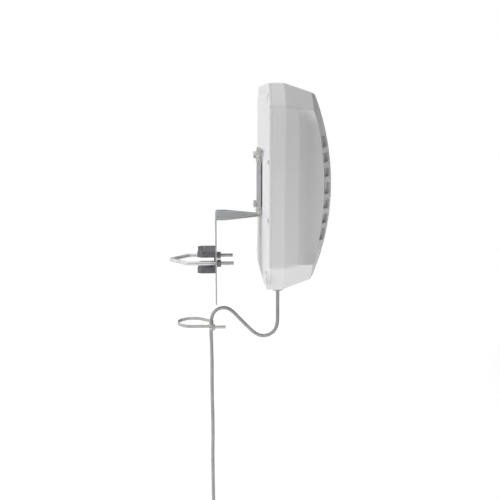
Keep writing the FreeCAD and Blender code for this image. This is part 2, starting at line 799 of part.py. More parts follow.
def flat_screws(x_seat, offset, head_r, shank_r, length):
    """Screws with their heads on the front of a plate."""
    made = []
    for y, z in four_corners(offset):
        head = rod_x(x_seat, x_seat + 1.8, y, z, head_r)
        shank = rod_x(x_seat - length, x_seat, y, z, shank_r)
        screw = head.fuse(shank)
        screw = screw.cut(box(x_seat + 0.9, x_seat + 2, y - head_r, y + head_r, z - 0.4, z + 0.4))
        made.append(screw)
    return group(made)


def main_board():
    """The radio's circuit board."""
    return board_with_holes(BOARD_X0, BOARD_X1, BOARD_HALF, BOARD_POST, 1.6)


def shield_can():
    """A folded tin can over the radio section."""
    can = box(BOARD_X1, BOARD_X1 + 8.0, -34, 34, PANEL_Z - 6, PANEL_Z + 58)
    can = can.cut(box(BOARD_X1 - 1, BOARD_X1 + 7.4, -33.4, 33.4, PANEL_Z - 5.4, PANEL_Z + 57.4))
    for y in (-23.0, 23.0):
        can = can.cut(rod_x(BOARD_X1 - 1, BOARD_X1 + 9, y, PANEL_Z + FEED_Z, 3.0))
    return can


def board_chips():
    """The larger chips on the front of the board."""
    chips = []
    for y, z, side, tall in ((-58, 40, 9, 1.2), (-58, 10, 7, 1.0), (56, 42, 8, 1.2), (56, 8, 6, 1.0)):
        z0 = PANEL_Z + z - side
        chips.append(box(BOARD_X1, BOARD_X1 + tall, y - side, y + side, z0, z0 + 2 * side))
    return group(chips)


def power_parts():
    """The network transformer and the power coil."""
    transformer = box(BOARD_X1, BOARD_X1 + 7.0, -34, -14, JACK_Z0 + 2, JACK_Z0 + 18)
    coil = rod_x(BOARD_X1, BOARD_X1 + 9.0, 34, JACK_Z0 + 10, 8.0)
    return group([transformer, coil])


def heat_spreader():
    """The aluminium block between the radio chips and the rear cover."""
    block = box(COVER_X1, BOARD_X0, -26, 26, PANEL_Z - 2, PANEL_Z + 50)
    for y, z in bolt_places():
        block = block.cut(rod_x(COVER_X1 - 1, COVER_X1 + 7, y, z, 9.0))
    return block


def network_jack():
    """The jack on the board that the inner plug pushes into."""
    x0 = BOARD_X1
    jack = box(x0, x0 + 14.0, -8.2, 8.2, JACK_Z0, JACK_Z1)
    mouth = box(x0 + 2.5, x0 + 11.0, -6.2, 6.2, JACK_Z0 - 1, JACK_Z1 - 4)
    return jack.cut(mouth)


def inner_plug():
    """The clear plug on the cable's inner end."""
    middle = BOARD_X1 + 6.75
    plug = box(middle - 4.0, middle + 4.0, -5.9, 5.9, JACK_Z0 - 3.0, JACK_Z1 - 4.5)
    return plug


def inner_lead():
    """The cable from the inner plug down through the gland to its lower face."""
    return rod_z(GLAND_END_Z, JACK_Z0 - 3.0, GLAND_X, 0, CABLE_R)


def reflector():
    """The aluminium plate behind the antenna, with room for the jack and the feed pins."""
    plate = board_with_holes(REFLECTOR_X0, REFLECTOR_X1, REFLECTOR_HALF, REFLECTOR_POST, 1.7)
    for y, z in four_corners(ANTENNA_POST):
        plate = plate.cut(rod_x(REFLECTOR_X0 - 1, REFLECTOR_X1 + 1, y, z, 1.7))
    for y in (-23.0, 23.0):
        plate = plate.cut(rod_x(REFLECTOR_X0 - 1, REFLECTOR_X1 + 1, y, PANEL_Z + FEED_Z, 3.0))
    return plate


def antenna_board():
    """The printed board that carries the patches."""
    board = board_with_holes(ANTENNA_X0, ANTENNA_X1, ANTENNA_HALF, ANTENNA_POST, 1.7)
    for y in (-23.0, 23.0):
        board = board.cut(rod_x(ANTENNA_X0 - 1, ANTENNA_X1 + 1, y, PANEL_Z + FEED_Z, 1.25))
    return board


def patches():
    """Sixteen square copper patches, four by four."""
    made = []
    for i in range(4):
        for j in range(4):
            y = (i - 1.5) * PATCH_PITCH
            z = PANEL_Z + (j - 1.5) * PATCH_PITCH
            h = PATCH_SIDE / 2
            patch = box(ANTENNA_X1, ANTENNA_X1 + 0.3, y - h, y + h, z - h, z + h)
            made.append(patch.cut(rod_x(ANTENNA_X1 - 1, ANTENNA_X1 + 1, y, z, 1.3)))
    return group(made)


def feed_pins():
    """Two coaxial pins from the main board up to the antenna board."""
    pins = []
    for y in (-23.0, 23.0):
        z = PANEL_Z + FEED_Z
        sleeve = rod_x(BOARD_X1, ANTENNA_X0 - 1.0, y, z, 2.4)
        pins.append(sleeve.fuse(rod_x(ANTENNA_X0 - 1.0, ANTENNA_X1, y, z, 1.25)))
    return group(pins)


# ---------------------------------------------------------------- outdoor cable
# Chosen points of the cable's route, from the gland to the coil, as (x, z) at y = 0.
# Each bend's arc touches the middles of the straight runs beside it.
ROUTE = [
    (129.2, -48.0),
    (129.2, -76.0),
    (129.5, -107.5),
    (116.8, -120.3),
    (98.6, -120.6),
    (76.0, -98.0),
    (55.6, -75.2),
    (38.2, -75.4),
    (27.4, -88.0),
    (27.4, -118.0),
    (28.6, -160.0),
    (28.0, -210.0),
    (29.2, -265.0),
    (28.2, -325.0),
    (28.8, -380.0),
    (28.9, -415.0),
    (28.9, -440.0),
]
COIL_X = 37.0
COIL_TURN_R = 32.5
COIL_THICK_X = 11.5
COIL_THICK_R = 10.3
TAIL_GAP = 20.0
PLUG_LENGTH = 21.0
BOOT_LENGTH = 16.0


def cable_spine():
    """The route as straight lines joined by arcs, printing each arc's radius."""
    points = [V(x, 0, z) for x, z in ROUTE]
    pieces = []
    here = points[0]
    radii = []
    for i in range(1, len(points) - 1):
        before = points[i - 1] - points[i]
        after = points[i + 1] - points[i]
        half_turn = (math.pi - before.getAngle(after)) / 2
        back = 0.45 * min(before.Length, after.Length)
        radius = back / math.tan(half_turn)
        to_before = before.normalize()
        to_after = after.normalize()
        start = points[i] + to_before * back
        end = points[i] + to_after * back
        sagitta = radius / math.cos(half_turn) - radius
        middle = points[i] + (to_before + to_after).normalize() * sagitta
        pieces.append(Part.LineSegment(here, start).toShape())
        pieces.append(Part.Arc(start, middle, end).toShape())
        radii.append(round(radius, 1))
        here = end
    pieces.append(Part.LineSegment(here, points[-1]).toShape())
    print("cable bend radii", radii)
    return Part.Wire(pieces)


def cable_tube():
    """The cable from the gland down to the coil."""
    spine = cable_spine()
    start = V(ROUTE[0][0], 0, ROUTE[0][1])
    toward = V(ROUTE[1][0], 0, ROUTE[1][1]) - start
    section = Part.Wire(Part.makeCircle(CABLE_R, start, toward))
    tube = spine.makePipeShell([section], True, False)
    flat = spine.Length * math.pi * CABLE_R ** 2
    print("cable length", round(spine.Length, 1), "volume share", round(tube.Volume / flat, 4))
    return tube


def coil_centre():
    """The middle of the hanging coil, below the cable's end."""
    return V(COIL_X, 0, ROUTE[-1][1] - COIL_TURN_R - COIL_THICK_R)


def cable_coil():
    """The outer shape of the put-away turns: a fat ring that hangs flat beside the mast."""
    centre = coil_centre()
    section = Part.Wire(Part.Ellipse(V(0, 0, 0), COIL_THICK_X, COIL_THICK_R).toShape())
    section.translate(V(centre.x, COIL_TURN_R, centre.z))
    ring = Part.Face(section).revolve(centre, V(1, 0, 0), 360)
    top = ROUTE[-1][1]
    stub = rod_z(top - COIL_THICK_R, top, ROUTE[-1][0], 0, CABLE_R)
    low = centre.z - COIL_TURN_R - COIL_THICK_R
    tail = rod_z(low - TAIL_GAP, low + COIL_THICK_R, centre.x, 0, CABLE_R)
    return ring.fuse([stub, tail]).removeSplitter()


def cable_ties():
    """Two narrow ties round the coil's bundle, left and right."""
    centre = coil_centre()
    coil = cable_coil()
    ties = []
    for side in (-1, 1):
        y = side * COIL_TURN_R
        z0 = centre.z - 1.8
        wide_x = COIL_THICK_X + 1.2
        wide_y = COIL_THICK_R + 1.2
        loop = box(centre.x - wide_x, centre.x + wide_x, y - wide_y, y + wide_y, z0, z0 + 3.6)
        corners = []
        for edge in loop.Edges:
            if edge.BoundBox.ZLength > 3:
                corners.append(edge)
        loop = loop.makeFillet(5.5, corners)
        head = box(centre.x + wide_x - 0.4, centre.x + wide_x + 3.8, y - 3, y + 3, z0 - 0.7, z0 + 4.3)
        ties.append(loop.fuse(head).cut(coil))
    return group([tie.Solids[0] for tie in ties])


def plug_top():
    """The height where the tail meets the end plug's boot."""
    return coil_centre().z - COIL_TURN_R - COIL_THICK_R - TAIL_GAP


def plug_boot():
    """The tapered boot behind the end plug."""
    x = COIL_X
    top = plug_top()
    boot = Part.makeCone(6.2, 4.2, BOOT_LENGTH, V(x, 0, top - BOOT_LENGTH), V(0, 0, 1))
    return boot


def end_plug():
    """The clear network plug with its latch."""
    x = COIL_X
    top = plug_top() - BOOT_LENGTH
    low = top - PLUG_LENGTH
    body = box(x - 4.0, x + 4.0, -5.85, 5.85, low, top)
    latch = polygon([
        V(x - 4.0, -1.6, low + 1.0),
        V(x - 5.2, -1.6, low + 1.0),
        V(x - 8.0, -1.6, top - 1.0),
        V(x - 7.0, -1.6, top - 1.0),
        V(x - 4.0, -1.6, low + 3.5),
    ])
    body = body.fuse(latch.extrude(V(0, 3.2, 0)))
    for i in range(8):
        y = -3.57 + 1.02 * i
        body = body.cut(box(x + 3.2, x + 5, y - 0.25, y + 0.25, low - 1, low + 6))
    return body.removeSplitter()


def plug_contacts():
    """Eight gold blades in the end plug's slots."""
    x = COIL_X
    low = plug_top() - BOOT_LENGTH - PLUG_LENGTH
    blades = []
    for i in range(8):
        y = -3.57 + 1.02 * i
        blades.append(box(x + 3.2, x + 3.8, y - 0.25, y + 0.25, low, low + 6))
    return group(blades)


# ---------------------------------------------------------------- write everything
def main():
    os.makedirs(OUT, exist_ok=True)
    save("front_radome", front_radome())
    save("rear_cover", rear_cover())
    save("cover_gasket", cover_gasket())
    save("cover_screws", cover_screws())
    save("bracket_inserts", bracket_inserts())
    save("bracket_bolts", bracket_bolts())
    save("bracket_washers", bracket_washers())
    save("z_bracket", z_bracket())
    save("mast_saddle", mast_saddle())
    save("v_bolt", v_bolt())
    save("v_nut_near", v_nut(-LEG_Y))
    save("v_nut_far", v_nut(LEG_Y))
    save("cable_band", cable_band())
    save("clamp_screw", clamp_screw())
    save("clamp_nut", clamp_nut())
    save("gland_body", gland_body())
    save("gland_washer", gland_washer())
    save("gland_locknut", gland_locknut())
    save("gland_bush", gland_bush())
    save("gland_nut", gland_nut())
    save("main_board", main_board())
    save("board_posts", posts(COVER_X1, BOARD_X0, BOARD_POST, 5.5, 1.25))
    save("board_screws", flat_screws(BOARD_X1, BOARD_POST, 2.6, 1.25, 6.0))
    save("board_chips", board_chips())
    save("power_parts", power_parts())
    save("shield_can", shield_can())
    save("heat_spreader", heat_spreader())
    save("network_jack", network_jack())
    save("inner_plug", inner_plug())
    save("inner_lead", inner_lead())
    save("reflector", reflector())
    save("reflector_posts", posts(COVER_X1, REFLECTOR_X0, REFLECTOR_POST, 7.0, 1.5))
    save("reflector_screws", flat_screws(REFLECTOR_X1, REFLECTOR_POST, 2.8, 1.5, 6.5))
    save("antenna_board", antenna_board())
    save("antenna_posts", posts(REFLECTOR_X1, ANTENNA_X0, ANTENNA_POST, 6.0, 1.5))
    save("antenna_screws", flat_screws(ANTENNA_X1, ANTENNA_POST, 2.8, 1.5, 6.0))
    save("antenna_patches", patches())
    save("feed_pins", feed_pins())
    save("cable_tube", cable_tube())
    save("cable_coil", cable_coil())
    save("coil_ties", cable_ties())
    save("plug_boot", plug_boot())
    save("end_plug", end_plug())
    save("plug_contacts", plug_contacts())


main()
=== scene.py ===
"""Looks for the outdoor wireless bridge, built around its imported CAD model.

Metres, in the CAD frame: the origin is on the mast's axis, level with the V-bolt,
X points from the mast to the panel's front, Y runs across the panel and Z is up.
"""
import json
import math

import bmesh
import bpy
from mathutils import Matrix, Vector

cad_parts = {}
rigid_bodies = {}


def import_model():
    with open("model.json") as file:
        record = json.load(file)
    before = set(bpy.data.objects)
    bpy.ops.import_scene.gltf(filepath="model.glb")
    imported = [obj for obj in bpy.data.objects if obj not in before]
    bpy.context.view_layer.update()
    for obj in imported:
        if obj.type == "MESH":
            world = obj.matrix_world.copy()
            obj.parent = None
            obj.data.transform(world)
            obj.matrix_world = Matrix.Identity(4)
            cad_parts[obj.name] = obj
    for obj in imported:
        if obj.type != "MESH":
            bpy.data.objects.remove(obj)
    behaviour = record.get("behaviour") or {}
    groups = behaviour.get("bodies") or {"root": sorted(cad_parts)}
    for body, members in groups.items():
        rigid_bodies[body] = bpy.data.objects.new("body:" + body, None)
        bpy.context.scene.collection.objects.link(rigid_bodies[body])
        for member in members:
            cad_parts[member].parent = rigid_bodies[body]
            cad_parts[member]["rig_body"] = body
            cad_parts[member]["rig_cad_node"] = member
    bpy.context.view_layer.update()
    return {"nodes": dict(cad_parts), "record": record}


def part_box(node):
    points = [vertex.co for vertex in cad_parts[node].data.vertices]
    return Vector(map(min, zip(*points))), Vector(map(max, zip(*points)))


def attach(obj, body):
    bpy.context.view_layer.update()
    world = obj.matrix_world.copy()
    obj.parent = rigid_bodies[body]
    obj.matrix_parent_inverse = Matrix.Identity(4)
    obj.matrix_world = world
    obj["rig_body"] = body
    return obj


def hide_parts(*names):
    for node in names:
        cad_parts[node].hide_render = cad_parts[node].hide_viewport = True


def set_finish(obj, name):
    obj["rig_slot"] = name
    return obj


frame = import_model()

nodes = frame["nodes"]

# Camera
CAMERA_PLACE = (0.0368, -1.180, 0.230)
CAMERA_DOWN = 10.38
CAMERA_RIGHT = 2.44
CAMERA_LENS = 57.38

# Cable
CABLE_D = 0.0054
ROUTE = [
    (0.1292, -0.0480),
    (0.1292, -0.0760),
    (0.1295, -0.1075),
    (0.1168, -0.1203),
    (0.0986, -0.1206),
    (0.0760, -0.0980),
    (0.0556, -0.0752),
    (0.0382, -0.0754),
    (0.0274, -0.0880),
    (0.0274, -0.1180),
    (0.0286, -0.1600),
    (0.0280, -0.2100),
    (0.0292, -0.2650),
    (0.0282, -0.3250),
    (0.0288, -0.3800),
    (0.0289, -0.4150),
    (0.0289, -0.4400),
]
COIL_TURN_R = 0.0325
COIL_BUNDLE = 0.0103
COIL_X = 0.0370
COLUMNS = 4
ROWS = 3
POINTS_PER_TURN = 20
POINT_RADIUS = 0.001
COIL_ENTRY = 0.14
COIL_LEAVE = 0.36

# V-bolt and its threads
ROD_R = 0.00295
THREAD_PITCH = 0.001
THREAD_DEPTH = 0.00045
THREAD_START_X = 0.028
LEG_END_X = 0.062
LEG_Y = 0.032
MAST_R = 0.022225
V_ANGLE = math.radians(50.0)
V_CLEAR = 0.00025
V_BEND_R = 0.008
TIP_BEND_R = 0.006

# Hexagon nuts and bolt heads, and the square pattern of the bracket's bolts
HEX_ACROSS = 0.010
HEX_STEPS = 96
HEAD_DISH_R = 0.0038
BOLT_PITCH = 0.075
SHARP_ANGLE = math.radians(32.0)
ROD_STEPS = 32
BEND_STEPS = 12

# How round the shaders make edges, and how near faces must be to darken the radome's hollows with painted
# shade
PLASTIC_EDGE = 0.0006
COAT_EDGE = 0.0007
SHEET_EDGE = 0.0005
FINE_EDGE = 0.0003
PAINTED_SHADE_REACH = 0.02

# Studio and light
FLOOR_Z = -0.62
FLOOR_R = 4.0
FLOOR_GLOW = 0.22
DOME_R = 9.0
CARD_X = 1.15
CARD_NEAR_Y = 0.20
CARD_FAR_Y = 1.5
CARD_LOW = -0.55
CARD_HIGH = 1.3
CARD_GLOW = 0.16
WORLD_LEVEL = 0.155
WORLD_TO_RIGHT = -0.90
WORLD_UPWARD = 1.40
WORLD_LEAST = 0.02
# Each lamp's name, place, target, size and power
LAMPS = [
    ("side_light", (-1.8, -0.1, 0.3), (0.1, 0.0, 0.1), (1.4, 1.4), 1.9),
    ("low_light", (0.25, -0.65, -0.57), (0.15, -0.1, 0.1), (0.7, 0.25), 0.8),
]


def camera():
    """The camera, looking at the panel's side from a little above."""
    data = bpy.data.cameras.new("camera")
    data.lens = CAMERA_LENS
    data.sensor_width = 36.0
    data.clip_end = 50.0
    cam = bpy.data.objects.new("camera", data)
    cam.location = CAMERA_PLACE
    cam.rotation_euler = (math.radians(90.0 - CAMERA_DOWN), 0.0, math.radians(-CAMERA_RIGHT))
    bpy.context.scene.collection.objects.link(cam)
    bpy.context.scene.camera = cam
    bpy.context.scene.view_settings.view_transform = "Standard"


def coil_slots():
    """Where each turn lies in the bundle, as (x, out from the middle of the bundle).
    The columns run in, out, in and out again, so the coil starts and ends on its outside."""
    slots = []
    for column in range(COLUMNS):
        x = (column - (COLUMNS - 1) / 2) * CABLE_D
        outs = [((ROWS - 1) / 2 - row) * CABLE_D for row in range(ROWS)]
        if column % 2:
            outs.reverse()
        slots += [(x, out, column) for out in outs]
    return slots


def coil_points(centre):
    """Points for the coil's turns, wound from the top towards -Y."""
    slots = coil_slots()
    points = []
    steps = POINTS_PER_TURN
    for turn, (x, out, column) in enumerate(slots):
        later = slots[min(turn + 1, len(slots) - 1)]
        start = 0.30 + 0.15 * column
        for step in range(steps):
            share = (step + 0.5) / steps
            if turn == 0 and share < COIL_ENTRY:
                continue
            if turn == len(slots) - 1 and share > COIL_LEAVE:
                continue
            move = min(1.0, max(0.0, (share - start) / 0.15))
            move = move * move * (3 - 2 * move)
            dx = x + (later[0] - x) * move
            radius = (COIL_TURN_R + out + (later[1] - out) * move) / math.cos(math.pi / steps)
            angle = 2 * math.pi * share
            y = -radius * math.sin(angle)
            z = radius * math.cos(angle)
            points.append(centre + Vector((dx, y, z)))
    return points


def tail_points(centre, low):
    """The cable's last stretch, from the coil's lower edge to the plug's boot."""
    edge = COLUMNS / 2 * CABLE_D
    return [
        Vector((centre.x + 0.85 * edge, -0.0200, low + 0.0276)),
        Vector((centre.x + 0.45 * edge, -0.0095, low + 0.0175)),
        Vector((centre.x + 0.10 * edge, -0.0010, low + 0.0085)),
        Vector((centre.x, 0.0, low)),
    ]


def nurbs(name, points, radius):
    """One smooth round cable through these control points.
    A curve's box is grown by its points' own radius, so that is small and the bevel makes up for it."""
    data = bpy.data.curves.new(name, "CURVE")
    data.dimensions = "3D"
    data.bevel_depth = radius / POINT_RADIUS
    data.bevel_resolution = 5
    data.resolution_u = 6
    data.use_fill_caps = True
    spline = data.splines.new("NURBS")
    spline.points.add(len(points) - 1)
    for point, place in zip(spline.points, points):
        point.co = (*place, 1.0)
        point.radius = POINT_RADIUS
    spline.order_u = 3
    spline.use_endpoint_u = True
    curve = bpy.data.objects.new(name, data)
    bpy.context.scene.collection.objects.link(curve)
    return curve


def cable():
    """The outdoor cable: one spline from the gland, down the mast, round the coil and to the plug."""
    points = [Vector((x, 0.0, z)) for x, z in ROUTE]
    centre = Vector((COIL_X, 0.0, ROUTE[-1][1] - COIL_TURN_R - COIL_BUNDLE))
    points += coil_points(centre)
    points += tail_points(centre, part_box("plug_boot")[1].z)
    piece = nurbs("outdoor_cable", points, CABLE_D / 2)
    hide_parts("cable_tube", "cable_coil")
    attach(piece, "bridge")
    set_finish(piece, "cable_grey")
    return piece


def mesh_piece(name, mesh, body, slot, *replaced):
    """Turn a bmesh into a smooth-shaded object that rides on a body and stands for some CAD nodes."""
    bmesh.ops.recalc_face_normals(mesh, faces=mesh.faces)
    data = bpy.data.meshes.new(name)
    mesh.to_mesh(data)
    mesh.free()
    piece = bpy.data.objects.new(name, data)
    bpy.context.scene.collection.objects.link(piece)
    for face in data.polygons:
        face.use_smooth = True
    data.set_sharp_from_angle(angle=SHARP_ANGLE)
    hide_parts(*replaced)
    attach(piece, body)
    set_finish(piece, slot)
    return piece


def skin(mesh, rings, closed_ends=True):
    """Join rings of points into a tube, capped at both ends or joined from its last ring to its first."""
    made = []
    for ring in rings:
        made.append([mesh.verts.new(point) for point in ring])
    count = len(made[0])
    for one, two in zip(made, made[1:]):
        for i in range(count):
            j = (i + 1) % count
            mesh.faces.new((one[i], one[j], two[j], two[i]))
    if closed_ends:
        mesh.faces.new(made[0])
        mesh.faces.new(made[-1])
    else:
        for i in range(count):
            j = (i + 1) % count
            mesh.faces.new((made[-1][i], made[-1][j], made[0][j], made[0][i]))


def rod_path():
    """Points and directions along the V-bolt, with arcs at its three bends."""
    reach = (MAST_R + V_CLEAR + ROD_R) / math.sin(V_ANGLE)
    corner_x = LEG_Y / math.tan(V_ANGLE) - reach
    corners = [
        Vector((LEG_END_X, -LEG_Y, 0)),
        Vector((corner_x, -LEG_Y, 0)),
        Vector((-reach, 0, 0)),
        Vector((corner_x, LEG_Y, 0)),
        Vector((LEG_END_X, LEG_Y, 0)),
    ]
    path = []
    here = corners[0]
    for i, radius in enumerate((V_BEND_R, TIP_BEND_R, V_BEND_R)):
        before, at, after = corners[i:i + 3]
        into = (at - before).normalized()
        out = (after - at).normalized()
        turn = into.angle(out)
        back = radius * math.tan(turn / 2)
        path += straight(here, at - into * back, into)
        middle = at + (out - into).normalized() * radius / math.cos(turn / 2)
        sense = 1 if into.cross(out).z > 0 else -1
        for step in range(1, BEND_STEPS):
            spin = Matrix.Rotation(sense * turn * step / BEND_STEPS, 3, "Z")
            path.append((middle + spin @ (at - into * back - middle), spin @ into))
        here = at + out * back
    path += straight(here, corners[-1], (corners[-1] - here).normalized())
    return path


def straight(start, end, direction):
    """Evenly spaced points along a straight run, close together where it is threaded."""
    threaded = max(start.x, end.x) > THREAD_START_X
    step = THREAD_PITCH / 8 if threaded else 0.002
    count = max(2, round((end - start).length / step))
    return [(start.lerp(end, i / count), direction) for i in range(count + 1)]


def thread_radius(along, angle, to_end):
    """The rod's radius on a thread: a helical ridge that fades in, with a bevelled end."""
    ridge = abs(((along / THREAD_PITCH - angle / (2 * math.pi)) % 1.0) * 2 - 1)
    fade = min(1.0, max(0.0, along / THREAD_PITCH))
    radius = ROD_R - THREAD_DEPTH * fade * (1.0 - min(1.0, ridge * 1.25))
    return min(radius, ROD_R - 0.0008 + to_end)


def v_bolt():
    """The V-bolt's round bar with a rolled thread on each leg."""
    rings = []
    up = Vector((0, 0, 1))
    for place, direction in rod_path():
        side = direction.cross(up)
        ring = []
        for i in range(ROD_STEPS):
            angle = 2 * math.pi * i / ROD_STEPS
            radius = ROD_R
            if place.x > THREAD_START_X:
                radius = thread_radius(place.x - THREAD_START_X, angle, LEG_END_X - place.x)
            ring.append(place + side * (radius * math.cos(angle)) + up * (radius * math.sin(angle)))
        rings.append(ring)
    mesh = bmesh.new()
    skin(mesh, rings)
    return mesh_piece("v_bolt_bar", mesh, frame_body("v_bolt"), "bolt_zinc", "v_bolt")


def frame_body(node):
    """The body that carries a CAD node."""
    return nodes[node]["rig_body"]


def hexagon_radius(angle, corner_first):
    """How far the hexagon's side is at an angle."""
    offset = 0.0 if corner_first else math.pi / 6
    within = (angle + offset) % (math.pi / 3) - math.pi / 6
    return HEX_ACROSS / 2 / math.cos(within)


def hex_rings(x0, length, y, z, limit, corner_first, bevel_start=True, bevel_end=True):
    """Rings along X for a hexagon with bevelled corners."""
    rings = []
    steps = (0.0, 0.0002, 0.0004, 0.0006, 0.0009)
    for depth in steps + tuple(length - step for step in reversed(steps)):
        to_end = min(depth if bevel_start else 1.0, length - depth if bevel_end else 1.0)
        cone = HEX_ACROSS / 2 * 0.95 + to_end * 1.7
        ring = []
        for i in range(HEX_STEPS):
            angle = 2 * math.pi * i / HEX_STEPS
            radius = min(hexagon_radius(angle, corner_first), cone, limit)
            ring.append(Vector((x0 + depth, y + radius * math.sin(angle), z + radius * math.cos(angle))))
        rings.append(ring)
    return rings


def circle_x(x, y, z, radius):
    """One ring round the X direction."""
    ring = []
    for i in range(HEX_STEPS):
        angle = 2 * math.pi * i / HEX_STEPS
        ring.append(Vector((x, y + radius * math.sin(angle), z + radius * math.cos(angle))))
    return ring


def v_nut(node, name):
    """A hexagon nut with bevelled corners and a countersunk threaded bore."""
    low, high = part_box(node)
    middle = (low + high) / 2
    length = high.x - low.x
    rings = hex_rings(low.x, length, middle.y, middle.z, (high.z - low.z) / 2, True)
    bore = ROD_R + 0.00005
    for share, wide in ((1.0, 0.0004), (0.93, 0.0), (0.07, 0.0), (0.0, 0.0004)):
        rings.append(circle_x(low.x + share * length, middle.y, middle.z, bore + wide))
    mesh = bmesh.new()
    skin(mesh, rings, closed_ends=False)
    return mesh_piece(name, mesh, frame_body(node), "nut_dark", node)


def bracket_bolts():
    """Four hexagon-headed bolts that hold the bracket's leg to the panel."""
    low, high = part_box("bracket_bolts")
    head_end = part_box("bracket_washers")[0].x
    middle_z = (low.z + high.z) / 2
    mesh = bmesh.new()
    length = head_end - low.x
    for y in (-BOLT_PITCH / 2, BOLT_PITCH / 2):
        for z in (middle_z - BOLT_PITCH / 2, middle_z + BOLT_PITCH / 2):
            rings = [circle_x(low.x + 0.0002, y, z, HEAD_DISH_R)]
            rings += hex_rings(low.x, length, y, z, 1.0, False, bevel_end=False)
            rings.append(circle_x(head_end, y, z, ROD_R))
            rings.append(circle_x(high.x, y, z, ROD_R))
            skin(mesh, rings)
    return mesh_piece("bracket_bolt_set", mesh, "bridge", "bolt_steel", "bracket_bolts")


def add(tree, kind, values=None, **settings):
    """A shader node with its settings and its sockets' own values."""
    item = tree.nodes.new(kind)
    for key, value in settings.items():
        setattr(item, key, value)
    for key, value in (values or {}).items():
        item.inputs[key].default_value = value
    return item


def place_of(tree, stretch=(1.0, 1.0, 1.0)):
    """Coordinates that ride with the object, stretched along its axes."""
    coords = add(tree, "ShaderNodeTexCoord")
    mapping = add(tree, "ShaderNodeMapping", {"Scale": stretch})
    tree.links.new(coords.outputs["Object"], mapping.inputs["Vector"])
    return mapping.outputs["Vector"]


def noise(tree, scale, detail=3.0, stretch=(1.0, 1.0, 1.0)):
    """Cloudy noise with that many features in a metre."""
    item = add(tree, "ShaderNodeTexNoise", {"Scale": scale, "Detail": detail})
    tree.links.new(place_of(tree, stretch), item.inputs["Vector"])
    return item.outputs["Fac"]


def cells(tree, scale, output="Color"):
    """Irregular crystal-like cells."""
    item = add(tree, "ShaderNodeTexVoronoi", {"Scale": scale})
    tree.links.new(place_of(tree), item.inputs["Vector"])
    return item.outputs[output]


def ramp(tree, source, start, end, low, high):
    """Blend between two colours as the source goes from start to end."""
    item = add(tree, "ShaderNodeValToRGB")
    item.color_ramp.elements[0].position = start
    item.color_ramp.elements[1].position = end
    item.color_ramp.elements[0].color = (*low, 1.0)
    item.color_ramp.elements[1].color = (*high, 1.0)
    tree.links.new(source, item.inputs["Fac"])
    return item.outputs["Color"]


def span(tree, source, low, high):
    """The source, from 0 to 1, spread between two numbers."""
    item = add(tree, "ShaderNodeMapRange", {"To Min": low, "To Max": high})
    tree.links.new(source, item.inputs["Value"])
    return item.outputs["Result"]


def mix(tree, factor, one, two, kind="MIX"):
    """Two colours mixed; the factor is a number or a socket."""
    item = add(tree, "ShaderNodeMix", data_type="RGBA", blend_type=kind)
    if isinstance(factor, float):
        item.inputs["Factor"].default_value = factor
    else:
        tree.links.new(factor, item.inputs["Factor"])
    tree.links.new(one, item.inputs["A"])
    tree.links.new(two, item.inputs["B"])
    return item.outputs["Result"]


def edge_mask(tree, bevel):
    """White along the edges, where a rounded normal leaves the true one."""
    geometry = add(tree, "ShaderNodeNewGeometry")
    dot = add(tree, "ShaderNodeVectorMath", operation="DOT_PRODUCT")
    tree.links.new(bevel, dot.inputs[0])
    tree.links.new(geometry.outputs["Normal"], dot.inputs[1])
    item = add(tree, "ShaderNodeMapRange",
               {"From Min": 0.985, "From Max": 0.86, "To Min": 0.0, "To Max": 1.0})
    tree.links.new(dot.outputs["Value"], item.inputs["Value"])
    return item.outputs["Result"]


def painted_hollow_shade(tree, reach, darkest):
    """A grey factor of painted shade: one on open faces, darker where faces nearby close the surface in.
    """
    item = add(tree, "ShaderNodeAmbientOcclusion", {"Distance": reach}, samples=8)
    return ramp(tree, item.outputs["AO"], 0.35, 0.97, (darkest, darkest, darkest), (1.0, 1.0, 1.0))


def bump(tree, height, depth, normal):
    """Relief of that depth in metres over the normal."""
    item = add(tree, "ShaderNodeBump", {"Strength": 1.0, "Distance": depth})
    tree.links.new(height, item.inputs["Height"])
    tree.links.new(normal, item.inputs["Normal"])
    return item.outputs["Normal"]


def shade(colour, factor):
    """The colour made lighter or darker."""
    return tuple(min(1.0, part * factor) for part in colour)


def base(name, edge):
    """A new material, its node tree, its shader and a normal that rounds its edges."""
    material = bpy.data.materials.new(name)
    material.use_nodes = True
    tree = material.node_tree
    shader = tree.nodes["Principled BSDF"]
    bevel = add(tree, "ShaderNodeBevel", {"Radius": edge}, samples=4)
    return material, tree, shader, bevel.outputs["Normal"]


def moulded(name, colour, rough=0.45, grain=2200.0, relief=0.00003, edge=PLASTIC_EDGE, hollow_shade=1.0):
    """Moulded plastic: fine spark-eroded grain and faint flow marks, with painted shade darkening its
    hollows if asked.
    """
    material, tree, shader, normal = base(name, edge)
    flow = noise(tree, 9.0, 4.0)
    speck = noise(tree, grain, 2.0)
    broad = ramp(tree, flow, 0.30, 0.72, shade(colour, 0.93), colour)
    # Painted shade: the colour is darkened in hollows, where nearby faces close the surface in
    if hollow_shade < 1.0:
        broad = mix(tree, 1.0, broad, painted_hollow_shade(tree, PAINTED_SHADE_REACH, hollow_shade), "MULTIPLY")
    fine = ramp(tree, speck, 0.25, 0.75, (0.96, 0.96, 0.96), (1.0, 1.0, 1.0))
    tree.links.new(mix(tree, 1.0, broad, fine, "MULTIPLY"), shader.inputs["Base Color"])
    tree.links.new(span(tree, flow, rough - 0.06, rough + 0.08), shader.inputs["Roughness"])
    waves = bump(tree, noise(tree, 60.0, 2.0), 0.00006, normal)
    tree.links.new(bump(tree, speck, relief, waves), shader.inputs["Normal"])
    return material


